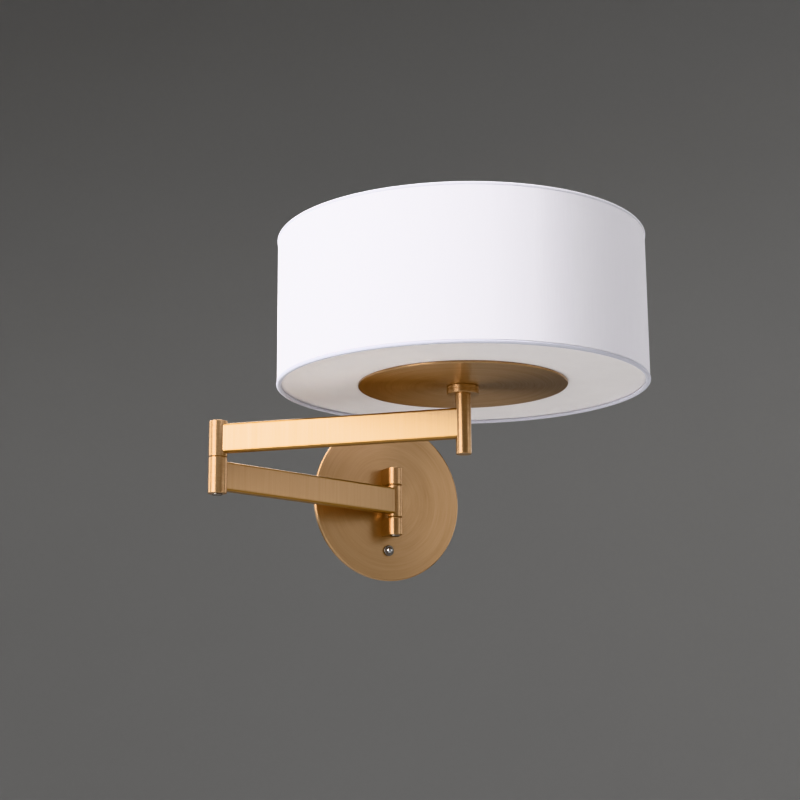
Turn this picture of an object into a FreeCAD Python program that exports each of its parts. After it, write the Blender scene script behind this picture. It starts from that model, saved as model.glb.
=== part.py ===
import FreeCAD, Part
import math
import os
import re
import Sketcher

# Swing arm wall sconce. Units are millimetres and degrees.
# Frame: origin at the centre of the mounting face on the wall, +Y into the wall, +Z up,
# +X to the right for a person facing the wall. Everything stands on the -Y side.

doc = FreeCAD.newDocument("SwingArmSconce")
sizes = doc.addObject("Spreadsheet::Sheet", "Sizes")
Vector = FreeCAD.Vector

drivingSizes = {
    # round face plate and the shallow pan hidden behind it
    "plateWidth": 127.0,
    "plateThick": 3.0,
    "plateRound": 1.2,
    "plateFront": 22.0,
    "panWidth": 100.0,
    "panWall": 1.2,
    "panLip": 0.3,
    "plateScrewCircle": 76.0,
    "plateScrewGrip": 2.0,
    # strap that screws to the wall box, and the side screws that hold the pan on it
    "strapLength": 94.0,
    "strapWidth": 22.0,
    "strapThick": 2.0,
    "earReach": 14.0,
    "slotSpacing": 69.85,
    "slotLength": 12.0,
    "slotWidth": 5.0,
    "sideScrewDepth": 9.0,
    "groundScrewSide": 14.0,
    # bracket lugs and the wall pivot
    "pivotReach": 11.7,
    "pivotDrop": 2.2,
    "lugWidth": 11.5,
    "lugHeight": 13.4,
    "lugGap": 26.4,
    "lugRoof": 3.4,
    "lugRound": 0.5,
    "leadHole": 4.6,
    "leadRise": 3.9,
    "thrustWasher": 0.8,
    "pivotTube": 7.0,
    "pivotTubeBore": 4.6,
    "pivotFloor": 4.0,
    "pivotScrewGrip": 10.0,
    "wallBarrel": 11.5,
    "bushWall": 1.0,
    "bushLength": 7.0,
    # the two arms
    "lowerReach": 180.0,
    "upperReach": 180.0,
    "lowerAngle": -161.1,
    "upperAngle": -44.0,
    "armHeight": 20.6,
    "armThick": 8.0,
    "armWall": 1.2,
    "armRound": 1.5,
    "windowWidth": 5.0,
    # elbow
    "elbowBarrel": 13.4,
    "elbowHeight": 25.8,
    "elbowTube": 8.0,
    "elbowTubeBore": 5.2,
    "elbowFloor": 3.0,
    "frictionWasher": 0.4,
    "upperBushLength": 3.5,
    "capThick": 2.0,
    "capWall": 1.2,
    "springWasher": 0.8,
    "lockRing": 2.5,
    # stem, collar and disc
    "stemWidth": 10.6,
    "stemWall": 1.5,
    "stemBottom": 2.5,
    "stemPlug": 5.0,
    "stemGrip": 3.0,
    "collarWidth": 22.0,
    "collarHeight": 5.5,
    "collarBottom": 43.8,
    "collarGroove": 0.25,
    "collarGrooveRise": 3.0,
    "discWidth": 143.0,
    "discThick": 1.6,
    "nippleWidth": 9.5,
    "nippleBore": 6.4,
    # diffuser, spider and shade
    "diffuserThick": 2.0,
    "shadeWidth": 253.0,
    "shadeHeight": 103.2,
    "fabricThick": 0.6,
    "linerThick": 0.6,
    "hemHeight": 2.4,
    "hemWidth": 3.5,
    "hemProud": 0.5,
    "hemRound": 0.9,
    "ringWire": 2.5,
    "spokeWire": 3.0,
    "spiderHub": 26.0,
    "spiderHubThick": 1.6,
    # lamp socket and bulb
    "lockNutFlats": 15.0,
    "lockNutThick": 3.0,
    "socketWidth": 34.0,
    "socketHeight": 29.0,
    "socketFloor": 4.5,
    "shellThick": 0.4,
    "shellRecess": 2.0,
    "lampBase": 26.0,
    "lampTip": 8.8,
    "lampTipRise": 5.0,
    "lampBaseLength": 24.0,
    "lampBaseLift": 1.5,
    "bulbWidth": 47.6,
    "bulbNeck": 26.8,
    "bulbHeight": 86.0,
    "bulbWall": 1.0,
    # push switch in the face plate
    "switchDrop": 39.8,
    "switchBody": 11.0,
    "switchDepth": 12.0,
    "bushingWidth": 6.6,
    "bushingProud": 2.4,
    "switchNut": 8.4,
    "switchNutThick": 1.6,
    "plungerWidth": 5.0,
    "plungerProud": 4.1,
    "plungerInside": 6.5,
    "plungerTravel": 1.2,
    # leads and connectors
    "leadWidth": 2.0,
    "leadPitch": 2.2,
    "connectorLength": 20.0,
    "connectorMouth": 12.0,
    "connectorTip": 8.0,
    "connectorRise": 30.0,
    "connectorSide": 11.0,
    "connectorDepth": 9.0,
    # screws
    "smallShank": 3.0,
    "smallHead": 5.6,
    "smallHeadThick": 1.8,
    "sideShank": 4.0,
    "sideHead": 6.4,
    "sideHeadThick": 1.6,
    "footHead": 7.5,
    "footHeadThick": 1.1,
    "footShank": 3.4,
    "driverSlot": 1.0,
    "driverSlotDepth": 0.6,
    # named clearances
    "runningGap": 0.03,
    "axialGap": 0.1,
    "looseGap": 0.1,
    "freeGap": 0.3,
    "fitGap": 0.05,
    "screwGap": 0.2,
    "edgeBreak": 0.4,
}

for row, (name, size) in enumerate(drivingSizes.items(), start=1):
    sizes.set(f"A{row}", name)
    sizes.set(f"B{row}", str(size))
    sizes.setAlias(f"B{row}", name)
doc.recompute()

plateScrewAngles = (-30, 90, 210)
spokeAngles = (30, 150, 270)

# Places that many pieces share, written as expressions on the driving sizes.
pivotY = "-(plateFront + pivotReach)"
pivotZ = "-pivotDrop"
elbowX = "lowerReach * cos(lowerAngle * 1 deg)"
elbowY = f"({pivotY} + lowerReach * sin(lowerAngle * 1 deg))"
stemX = f"({elbowX} + upperReach * cos(upperAngle * 1 deg))"
stemY = f"({elbowY} + upperReach * sin(upperAngle * 1 deg))"
upperBarrelBottom = "(-pivotDrop + elbowHeight / 2 + frictionWasher + axialGap)"
upperArmZ = f"({upperBarrelBottom} + elbowHeight / 2)"
collarTop = "(collarBottom + collarHeight)"
diffuserBottom = f"({collarTop} + discThick)"
diffuserTop = f"({diffuserBottom} + diffuserThick)"
hubTop = f"({diffuserTop} + spiderHubThick)"
socketBottom = f"({hubTop} + lockNutThick)"
shadeBottom = f"({diffuserBottom} - hemHeight)"
shadeTop = f"({shadeBottom} + shadeHeight)"
fabricInside = "(shadeWidth / 2 - fabricThick)"
linerInside = f"({fabricInside} - linerThick)"
panFront = "(plateFront - plateThick)"
panInside = f"({panFront} - panWall)"
upperLugBottom = "(lugGap / 2 - pivotDrop)"
lowerLugTop = "(-lugGap / 2 - pivotDrop)"
leadZ = f"({upperLugBottom} + leadRise)"
capRecess = "(elbowBarrel / 2 - capWall)"
elbowOuter = "(elbowBarrel / 2)"
nutCorner = "(lockNutFlats / 2 / cos(30 deg))"

# The stack inside the upper elbow barrel, as heights above the lower arm's middle.
elbowTop = f"({upperBarrelBottom} + elbowHeight + pivotDrop)"
recessFloor = f"({elbowTop} - capThick - freeGap - lockRing - springWasher - 2 * axialGap)"
springBottom = f"({recessFloor} + axialGap)"
lockBottom = f"({springBottom} + springWasher)"

facingRoom = FreeCAD.Rotation(Vector(1, 0, 0), 90)
upright = FreeCAD.Rotation()


def onSheet(text):
    return re.sub(r"[A-Za-z]\w*", lambda word: "Sizes." + word[0] if word[0] in drivingSizes else word[0], text)


def measure(text):
    found = sizes.evalExpression(onSheet(text))
    return float(getattr(found, "Value", found))


def bind(item, field, text):
    item.setExpression(field, onSheet(text))


def place(item, x, y, z, rotation=upright):
    item.Placement = FreeCAD.Placement(Vector(0, 0, 0), rotation)
    for axis, text in zip("xyz", (x, y, z)):
        bind(item, f"Placement.Base.{axis}", text)


def alongArm(angleName):
    return FreeCAD.Rotation(Vector(0, 0, 1), measure(angleName))


def newBody(label):
    body = doc.addObject("PartDesign::Body", label)
    body.Label = label
    return body


def newSketch(body, role, lift="0"):
    sketch = body.newObject("Sketcher::SketchObject", body.Label + "_sketch")
    plane = next(item for item in body.Origin.OriginFeatures if item.Role == role)
    sketch.AttachmentSupport = [(plane, "")]
    sketch.MapMode = "FlatFace"
    if lift != "0":
        bind(sketch, "AttachmentOffset.Base.z", lift)
    return sketch


def pin(sketch, element, spot, x, y):
    for kind, text, axis in (("DistanceX", x, -2), ("DistanceY", y, -1)):
        if text == "0":
            sketch.addConstraint(Sketcher.Constraint("PointOnObject", element, spot, axis))
        else:
            rule = Sketcher.Constraint(kind, -1, 1, element, spot, measure(text))
            bind(sketch, f"Constraints[{sketch.addConstraint(rule)}]", text)


def outline(sketch, points):
    first = sketch.GeometryCount
    spots = [Vector(measure(x), measure(y), 0) for x, y in points]
    count = len(points)
    for index in range(count):
        sketch.addGeometry(Part.LineSegment(spots[index], spots[(index + 1) % count]))
    for index in range(count):
        following = first + (index + 1) % count
        sketch.addConstraint(Sketcher.Constraint("Coincident", first + index, 2, following, 1))
    for index, (x, y) in enumerate(points):
        pin(sketch, first + index, 1, x, y)


def circle(sketch, radius, x="0", y="0"):
    centre = Vector(measure(x), measure(y), 0)
    element = sketch.addGeometry(Part.Circle(centre, Vector(0, 0, 1), measure(radius)))
    pin(sketch, element, 3, x, y)
    rule = sketch.addConstraint(Sketcher.Constraint("Radius", element, measure(radius)))
    bind(sketch, f"Constraints[{rule}]", radius)


def pad(body, sketch, length):
    feature = body.newObject("PartDesign::Pad", body.Label + "_pad")
    feature.Profile = sketch
    bind(feature, "Length", length)
    sketch.Visibility = False
    return feature


def pocket(body, sketch, length, backwards=False):
    """Cuts away from the sketch's normal, or along it when backwards is set."""
    feature = body.newObject("PartDesign::Pocket", body.Label + "_pocket")
    feature.Profile = sketch
    feature.Reversed = backwards
    bind(feature, "Length", length)
    before = body.Shape.Volume
    doc.recompute()
    if not body.Shape.Volume < before:
        raise RuntimeError(f"{body.Label}: a pocket cut nothing")
    return feature


def revolve(body, points):
    sketch = newSketch(body, "XZ_Plane")
    outline(sketch, points)
    feature = body.newObject("PartDesign::Revolution", body.Label + "_turn")
    feature.Profile = sketch
    feature.ReferenceAxis = (sketch, ["V_Axis"])
    feature.Angle = 360
    doc.recompute()
    return feature


def fillet(body, base, radius, wanted):
    names = [f"Edge{index}" for index, edge in enumerate(base.Shape.Edges, start=1) if wanted(edge)]
    feature = body.newObject("PartDesign::Fillet", body.Label + "_round")
    feature.Base = (base, names)
    bind(feature, "Radius", radius)
    doc.recompute()
    return feature


def turned(label, points, x="0", y="0", z="0", rotation=upright):
    """A lathe-turned piece: points are (radius, height) pairs about its own axis."""
    body = newBody(label)
    revolve(body, points)
    place(body, x, y, z, rotation)
    return body


def ringPoints(outer, inner, bottom, top):
    return [(inner, bottom), (outer, bottom), (outer, top), (inner, top)]


def brokenRing(outer, inner, bottom, top):
    """A tube's section with a small chamfer on both outside edges."""
    return [
        (inner, bottom),
        (f"{outer} - edgeBreak", bottom),
        (outer, f"{bottom} + edgeBreak"),
        (outer, f"{top} - edgeBreak"),
        (f"{outer} - edgeBreak", top),
        (inner, top),
    ]


def screw(label, shank, grip, head, headThick):
    """A slotted pan-head screw: the head's underside lies at height 0, the shank points down."""
    body = newBody(label)
    revolve(body, [
        ("0", f"-({grip})"),
        (f"{shank} / 2 - edgeBreak", f"-({grip})"),
        (f"{shank} / 2", f"edgeBreak - ({grip})"),
        (f"{shank} / 2", "0"),
        (f"{head} / 2", "0"),
        (f"{head} / 2", f"{headThick} - edgeBreak"),
        (f"{head} / 2 - edgeBreak", headThick),
        ("0", headThick),
    ])
    sketch = newSketch(body, "XY_Plane", headThick)
    outline(sketch, [
        (f"-{head}", "-driverSlot / 2"),
        (head, "-driverSlot / 2"),
        (head, "driverSlot / 2"),
        (f"-{head}", "driverSlot / 2"),
    ])
    pocket(body, sketch, "driverSlotDepth")
    return body


def gathered(label, solids):
    """One node of separate solids."""
    group = doc.addObject("Part::Feature", label)
    group.Label = label
    group.Shape = Part.makeCompound(solids)
    return group


def copies(label, pattern, placements):
    """One node that repeats the pattern piece at each placement."""
    solids = []
    for spot in placements:
        solid = pattern.Shape.copy()
        solid.Placement = spot
        solids.append(solid)
    return gathered(label, solids)


def roundedPath(points, radii):
    """Straight runs joined by tangent arcs, one radius for each inner point."""
    edges = []
    start = points[0]
    for index, radius in enumerate(radii, start=1):
        corner = points[index]
        back = (points[index - 1] - corner).normalize()
        ahead = (points[index + 1] - corner).normalize()
        half = back.getAngle(ahead) / 2
        entry = corner + back * (radius / math.tan(half))
        leave = corner + ahead * (radius / math.tan(half))
        inward = (back + ahead).normalize()
        middle = corner + inward * (radius / math.sin(half) - radius)
        edges.append(Part.LineSegment(start, entry).toShape())
        edges.append(Part.Arc(entry, middle, leave).toShape())
        start = leave
    edges.append(Part.LineSegment(start, points[-1]).toShape())
    return Part.Wire(edges)


def leadTube(points, radii):
    heading = (points[1] - points[0]).normalize()
    section = Part.Wire([Part.Circle(points[0], heading, measure("leadWidth") / 2).toShape()])
    return roundedPath(points, radii).makePipeShell([section], True, False)


def leadPair(label, points, radii, spread):
    """Two insulated leads side by side; spread is the direction from one to the other."""
    solids = []
    for side in (-1, 1):
        shifted = [point + spread * (side * measure("leadPitch") / 2) for point in points]
        solids.append(leadTube(shifted, radii))
    return gathered(label, solids)


nodes = []


# Wall side: strap, pan, face plate

def makeStrap():
    body = newBody("mounting_strap")
    profile = newSketch(body, "XZ_Plane", "-strapWidth / 2")
    half = "strapLength / 2"
    outline(profile, [
        (f"-{half}", "0"),
        (half, "0"),
        (half, "earReach"),
        (f"{half} - strapThick", "earReach"),
        (f"{half} - strapThick", "strapThick"),
        (f"strapThick - {half}", "strapThick"),
        (f"strapThick - {half}", "earReach"),
        (f"-{half}", "earReach"),
    ])
    pad(body, profile, "strapWidth")
    doc.recompute()
    slots = newSketch(body, "XY_Plane", "strapThick")
    for side in (-1, 1):
        for end in (-1, 1):
            slotEnd = f"{side} * slotSpacing / 2 + {end} * (slotLength - slotWidth) / 2"
            circle(slots, "slotWidth / 2", slotEnd, "0")
    pocket(body, slots, "strapThick")
    webs = newSketch(body, "XY_Plane", "strapThick")
    for side in (-1, 1):
        inner = f"{side} * slotSpacing / 2 - (slotLength - slotWidth) / 2"
        outer = f"{side} * slotSpacing / 2 + (slotLength - slotWidth) / 2"
        outline(webs, [
            (inner, "-slotWidth / 2"),
            (outer, "-slotWidth / 2"),
            (outer, "slotWidth / 2"),
            (inner, "slotWidth / 2"),
        ])
    pocket(body, webs, "strapThick")
    ground = newSketch(body, "XY_Plane", "strapThick")
    circle(ground, "smallShank / 2", "groundScrewSide", "0")
    pocket(body, ground, "strapThick")
    taps = newSketch(body, "YZ_Plane", "-strapLength")
    circle(taps, "sideShank / 2", "0", "sideScrewDepth")
    pocket(body, taps, "2 * strapLength", backwards=True)
    place(body, "0", "0", "0", facingRoom)
    nodes.append(body)

    earth = screw("ground_screw", "smallShank", "strapThick", "smallHead", "smallHeadThick")
    place(earth, "groundScrewSide", "-strapThick", "0", facingRoom)
    nodes.append(earth)


def makePan():
    body = newBody("canopy_pan")
    radius = "panWidth / 2"
    revolve(body, [
        (f"{radius} - panWall", "panLip"),
        (radius, "panLip"),
        (radius, panFront),
        ("0", panFront),
        ("0", panInside),
        (f"{radius} - panWall", panInside),
    ])
    holes = newSketch(body, "XY_Plane", panFront)
    circle(holes, "leadHole / 2", "0", leadZ)
    circle(holes, "bushingWidth / 2 + looseGap", "0", "-switchDrop")
    for x, y in plateScrewSpots() + lugScrewSpots():
        circle(holes, "smallShank / 2 + screwGap", x, y)
    pocket(body, holes, "panWall")
    sides = newSketch(body, "YZ_Plane", "-panWidth")
    circle(sides, "sideShank / 2 + screwGap", "0", "sideScrewDepth")
    pocket(body, sides, "2 * panWidth", backwards=True)
    place(body, "0", "0", "0", facingRoom)
    nodes.append(body)


def plateScrewSpots():
    radius = "plateScrewCircle / 2"
    return [(f"{radius} * cos({angle} deg)", f"{radius} * sin({angle} deg)") for angle in plateScrewAngles]


def lugScrewSpots():
    return [("0", f"{upperLugBottom} + lugHeight - smallShank"), ("0", f"{lowerLugTop} - lugHeight / 2")]


def makeFacePlate():
    body = newBody("face_plate")
    disc = newSketch(body, "XY_Plane", panFront)
    circle(disc, "plateWidth / 2")
    base = pad(body, disc, "plateThick")
    doc.recompute()
    front = measure("plateFront")
    fillet(body, base, "plateRound", lambda edge: abs(edge.BoundBox.ZMin - front) < 1e-6)
    through = newSketch(body, "XY_Plane", "plateFront")
    circle(through, "leadHole / 2", "0", leadZ)
    circle(through, "bushingWidth / 2", "0", "-switchDrop")
    for x, y in lugScrewSpots():
        circle(through, "smallShank / 2", x, y)
    pocket(body, through, "plateThick")
    blind = newSketch(body, "XY_Plane", panFront)
    for x, y in plateScrewSpots():
        circle(blind, "smallShank / 2", x, y)
    pocket(body, blind, "plateScrewGrip", backwards=True)
    place(body, "0", "0", "0", facingRoom)
    nodes.append(body)


def wallPlacement(x, y, depth):
    """A screw lying behind the pan, its shank pointing into the room."""
    rotation = FreeCAD.Rotation(Vector(1, 0, 0), -90)
    return FreeCAD.Placement(Vector(measure(x), -measure(depth), measure(y)), rotation)


def makeWallScrews():
    plateGrip = "plateScrewGrip + panWall"
    lugGrip = "panWall + plateThick + lugHeight / 2"
    sideGrip = "(panWidth - strapLength) / 2 + 2 * strapThick"
    plateScrew = screw("plate_screw_pattern", "smallShank", plateGrip, "smallHead", "smallHeadThick")
    lugScrew = screw("lug_screw_pattern", "smallShank", lugGrip, "smallHead", "smallHeadThick")
    sideScrew = screw("side_screw_pattern", "sideShank", sideGrip, "sideHead", "sideHeadThick")
    doc.recompute()
    spots = [wallPlacement(x, y, panInside) for x, y in plateScrewSpots()]
    nodes.append(copies("plate_screws", plateScrew, spots))
    nodes.append(copies("lug_screws", lugScrew, [wallPlacement(x, y, panInside) for x, y in lugScrewSpots()]))
    spots = []
    for side in (-1, 1):
        rotation = FreeCAD.Rotation(Vector(0, 1, 0), 90 * side)
        base = Vector(side * measure("panWidth") / 2, -measure("sideScrewDepth"), 0)
        spots.append(FreeCAD.Placement(base, rotation))
    nodes.append(copies("canopy_side_screws", sideScrew, spots))


# Bracket lugs and wall pivot

def lugBody(label, bottom):
    body = newBody(label)
    stadium = newSketch(body, "XY_Plane")
    circle(stadium, "lugWidth / 2")
    pad(body, stadium, "lugHeight")
    block = newSketch(body, "XY_Plane")
    outline(block, [
        ("-lugWidth / 2", "0"),
        ("lugWidth / 2", "0"),
        ("lugWidth / 2", "pivotReach"),
        ("-lugWidth / 2", "pivotReach"),
    ])
    solid = pad(body, block, "lugHeight")
    doc.recompute()
    top = measure("lugHeight")
    reach = measure("pivotReach")

    def onRim(edge):
        box = edge.BoundBox
        level = box.ZLength < 1e-6 and (abs(box.ZMin) < 1e-6 or abs(box.ZMin - top) < 1e-6)
        return level and box.YMin < reach - 1e-6

    fillet(body, solid, "lugRound", onRim)
    place(body, "0", pivotY, bottom)
    return body


def makeUpperLug():
    body = lugBody("upper_lug", upperLugBottom)
    bore = newSketch(body, "XY_Plane")
    circle(bore, "pivotTube / 2")
    pocket(body, bore, "lugHeight - lugRoof", backwards=True)
    back = newSketch(body, "XZ_Plane", "-pivotReach")
    circle(back, "leadHole / 2", "0", "leadRise")
    pocket(body, back, "pivotReach", backwards=True)
    tap = newSketch(body, "XZ_Plane", "-pivotReach")
    circle(tap, "smallShank / 2", "0", "lugHeight - smallShank")
    pocket(body, tap, "lugHeight / 2", backwards=True)
    nodes.append(body)


def makeLowerLug():
    body = lugBody("lower_lug", f"{lowerLugTop} - lugHeight")
    bore = newSketch(body, "XY_Plane", "lugHeight")
    circle(bore, "pivotTube / 2")
    pocket(body, bore, "lugHeight - pivotFloor")
    hole = newSketch(body, "XY_Plane")
    circle(hole, "pivotTubeBore / 2")
    pocket(body, hole, "pivotFloor", backwards=True)
    tap = newSketch(body, "XZ_Plane", "-pivotReach")
    circle(tap, "smallShank / 2", "0", "lugHeight / 2")
    pocket(body, tap, "pivotReach - pivotTube / 2 - 2 * edgeBreak", backwards=True)
    nodes.append(body)


def makeWallPivot():
    body = newBody("wall_pivot_tube")
    bottom = f"({lowerLugTop} - lugHeight + pivotFloor + pivotDrop)"
    top = f"({upperLugBottom} + lugHeight - lugRoof + pivotDrop)"
    revolve(body, ringPoints("pivotTube / 2", "pivotTubeBore / 2", bottom, top))
    window = newSketch(body, "XZ_Plane", "-pivotTube")
    circle(window, "pivotTubeBore / 2 - looseGap", "0", "lugGap / 2 + leadRise")
    pocket(body, window, "pivotTube", backwards=True)
    side = newSketch(body, "YZ_Plane", "-pivotTube")
    outline(side, [
        ("-pivotTube", "-windowWidth / 2"),
        ("pivotTube", "-windowWidth / 2"),
        ("pivotTube", "windowWidth / 2"),
        ("-pivotTube", "windowWidth / 2"),
    ])
    pocket(body, side, "pivotTube", backwards=True)
    place(body, "0", pivotY, pivotZ)
    nodes.append(body)

    foot = screw("wall_pivot_screw", "pivotTubeBore", "pivotScrewGrip", "footHead", "footHeadThick")
    place(foot, "0", pivotY, f"{lowerLugTop} - lugHeight", FreeCAD.Rotation(Vector(1, 0, 0), 180))
    nodes.append(foot)

    disc = ringPoints("wallBarrel / 2 - edgeBreak", "pivotTube / 2 + fitGap", "0", "thrustWasher")
    washer = turned("thrust_washer_pattern", disc)
    spots = []
    for bottom in (lowerLugTop, f"{upperLugBottom} - thrustWasher"):
        spots.append(FreeCAD.Placement(Vector(0, measure(pivotY), measure(bottom)), upright))
    nodes.append(copies("thrust_washers", washer, spots))


# Push switch

def makeSwitch():
    box = newBody("switch_body")
    footprint = newSketch(box, "XY_Plane", f"{panInside} - switchDepth")
    half = "switchBody / 2"
    outline(footprint, [(f"-{half}", f"-{half}"), (half, f"-{half}"), (half, half), (f"-{half}", half)])
    pad(box, footprint, "switchDepth")
    doc.recompute()
    well = newSketch(box, "XY_Plane", panInside)
    circle(well, "plungerWidth / 2 + freeGap")
    pocket(box, well, "plungerInside + plungerTravel + freeGap - plateThick - panWall")
    place(box, "0", "0", "-switchDrop", facingRoom)
    nodes.append(box)

    front = "plateFront + bushingProud"
    bushing = ringPoints("bushingWidth / 2", "plungerWidth / 2 + looseGap", panInside, front)
    nodes.append(turned("switch_bushing", bushing, z="-switchDrop", rotation=facingRoom))

    nut = brokenRing("switchNut / 2", "bushingWidth / 2", "plateFront", "plateFront + switchNutThick")
    nodes.append(turned("switch_nut", nut, z="-switchDrop", rotation=facingRoom))

    plunger = newBody("switch_plunger")
    rod = newSketch(plunger, "XY_Plane", "plateFront - plungerInside")
    circle(rod, "plungerWidth / 2")
    base = pad(plunger, rod, "plungerInside + plungerProud")
    doc.recompute()
    tip = measure("plateFront + plungerProud")
    fillet(plunger, base, "plungerWidth / 2 - edgeBreak", lambda edge: abs(edge.BoundBox.ZMin - tip) < 1e-6)
    place(plunger, "0", "0", "-switchDrop", facingRoom)
    nodes.append(plunger)


# Arms

def makeArm(label, reach, nearBarrel, farBarrel, x, y, z, angle):
    """Flat rectangular tube between two upright barrels, its ends coped to their round sides."""
    body = newBody(label)
    section = newSketch(body, "YZ_Plane")
    halfThick = "armThick / 2"
    halfHeight = "armHeight / 2"
    outline(section, [
        (f"-{halfThick}", f"-{halfHeight}"),
        (halfThick, f"-{halfHeight}"),
        (halfThick, halfHeight),
        (f"-{halfThick}", halfHeight),
    ])
    base = pad(body, section, reach)
    doc.recompute()
    length = measure(reach)
    fillet(body, base, "armRound", lambda edge: edge.BoundBox.XLength > length - 1e-6)
    hollow = newSketch(body, "YZ_Plane")
    outline(hollow, [
        (f"armWall - {halfThick}", f"armWall - {halfHeight}"),
        (f"{halfThick} - armWall", f"armWall - {halfHeight}"),
        (f"{halfThick} - armWall", f"{halfHeight} - armWall"),
        (f"armWall - {halfThick}", f"{halfHeight} - armWall"),
    ])
    pocket(body, hollow, reach, backwards=True)
    copes = newSketch(body, "XY_Plane", halfHeight)
    circle(copes, f"{nearBarrel} / 2", "0", "0")
    circle(copes, f"{farBarrel} / 2", reach, "0")
    pocket(body, copes, "armHeight")
    place(body, x, y, z, alongArm(angle))
    nodes.append(body)


def armBarrel(label, points, x, y, z, angle, towards):
    """An upright barrel with a side window, at its own mid height, for the leads."""
    body = newBody(label)
    revolve(body, points)
    window = newSketch(body, "YZ_Plane")
    circle(window, "windowWidth / 2")
    pocket(body, window, "elbowBarrel", backwards=towards > 0)
    place(body, x, y, z, alongArm(angle))
    nodes.append(body)
    return body


def makeLowerArm():
    wallHalf = "(lugGap / 2 - thrustWasher - axialGap)"
    bushOuter = "(pivotTube / 2 + runningGap + bushWall)"
    armBarrel("wall_barrel", brokenRing("wallBarrel / 2", bushOuter, f"-{wallHalf}", wallHalf),
              "0", pivotY, pivotZ, "lowerAngle", 1)
    bush = turned("wall_bush_pattern", ringPoints(bushOuter, "pivotTube / 2 + runningGap", "0", "bushLength"))
    spots = []
    for bottom in (f"{pivotZ} - {wallHalf}", f"{pivotZ} + {wallHalf} - bushLength"):
        spots.append(FreeCAD.Placement(Vector(0, measure(pivotY), measure(bottom)), upright))
    nodes.append(copies("wall_bushes", bush, spots))

    makeArm("lower_arm_tube", "lowerReach", "wallBarrel", "elbowBarrel", "0", pivotY, pivotZ, "lowerAngle")

    half = "elbowHeight / 2"
    armBarrel("elbow_lower_barrel", [
        ("footShank / 2", f"-{half}"),
        (f"{elbowOuter} - edgeBreak", f"-{half}"),
        (elbowOuter, f"edgeBreak - {half}"),
        (elbowOuter, f"{half} - edgeBreak"),
        (f"{elbowOuter} - edgeBreak", half),
        ("elbowTube / 2", half),
        ("elbowTube / 2", f"elbowFloor - {half}"),
        ("footShank / 2", f"elbowFloor - {half}"),
    ], elbowX, elbowY, pivotZ, "lowerAngle", -1)

    foot = screw("elbow_foot_screw", "footShank", "elbowFloor", "footHead", "footHeadThick")
    place(foot, elbowX, elbowY, f"{pivotZ} - {half}", FreeCAD.Rotation(Vector(1, 0, 0), 180))
    nodes.append(foot)


def makeElbowPivot():
    body = newBody("elbow_pivot_tube")
    revolve(body, ringPoints("elbowTube / 2", "elbowTubeBore / 2", "elbowFloor - elbowHeight / 2",
                             f"{lockBottom} + lockRing"))
    window = newSketch(body, "YZ_Plane")
    circle(window, "windowWidth / 2")
    pocket(body, window, "elbowTube")
    side = newSketch(body, "XZ_Plane")
    middle = f"({upperArmZ} + pivotDrop)"
    outline(side, [
        ("-elbowTube", f"{middle} - windowWidth / 2"),
        ("elbowTube", f"{middle} - windowWidth / 2"),
        ("elbowTube", f"{middle} + windowWidth / 2"),
        ("-elbowTube", f"{middle} + windowWidth / 2"),
    ])
    pocket(body, side, "elbowTube", backwards=True)
    place(body, elbowX, elbowY, pivotZ, alongArm("lowerAngle"))
    nodes.append(body)

    loose = "elbowTube / 2 + fitGap"
    rim = f"{elbowOuter} - edgeBreak"
    washer = ringPoints(rim, loose, "elbowHeight / 2", "elbowHeight / 2 + frictionWasher")
    nodes.append(turned("elbow_friction_washer", washer, elbowX, elbowY, pivotZ))
    rim = f"({capRecess} - freeGap)"
    spring = ringPoints(rim, loose, springBottom, lockBottom)
    nodes.append(turned("elbow_spring_washer", spring, elbowX, elbowY, pivotZ))
    lock = ringPoints(rim, "elbowTube / 2", lockBottom, f"{lockBottom} + lockRing")
    nodes.append(turned("elbow_lock_ring", lock, elbowX, elbowY, pivotZ))


def makeUpperArm():
    floor = f"({recessFloor} - {upperArmZ} - pivotDrop)"
    bushOuter = "(elbowTube / 2 + runningGap + bushWall)"
    half = "elbowHeight / 2"
    armBarrel("elbow_upper_barrel", [
        (bushOuter, f"-{half}"),
        (f"{elbowOuter} - edgeBreak", f"-{half}"),
        (elbowOuter, f"edgeBreak - {half}"),
        (elbowOuter, f"{half} - edgeBreak"),
        (f"{elbowOuter} - edgeBreak", half),
        (capRecess, half),
        (capRecess, floor),
        (bushOuter, floor),
    ], elbowX, elbowY, upperArmZ, "upperAngle", 1)

    lower = ringPoints(bushOuter, "elbowTube / 2 + runningGap", f"-{half}", f"bushLength - {half}")
    upper = ringPoints(bushOuter, "elbowTube / 2 + runningGap", f"{floor} - upperBushLength", floor)
    nodes.append(turned("elbow_lower_bush", lower, elbowX, elbowY, upperArmZ))
    nodes.append(turned("elbow_upper_bush", upper, elbowX, elbowY, upperArmZ))

    cap = [
        ("0", f"{half} - capThick"),
        (capRecess, f"{half} - capThick"),
        (capRecess, half),
        ("0", half),
    ]
    nodes.append(turned("elbow_top_cap", cap, elbowX, elbowY, upperArmZ))

    makeArm("upper_arm_tube", "upperReach", "elbowBarrel", "stemWidth", elbowX, elbowY, upperArmZ, "upperAngle")


# Stem, collar, disc

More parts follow.
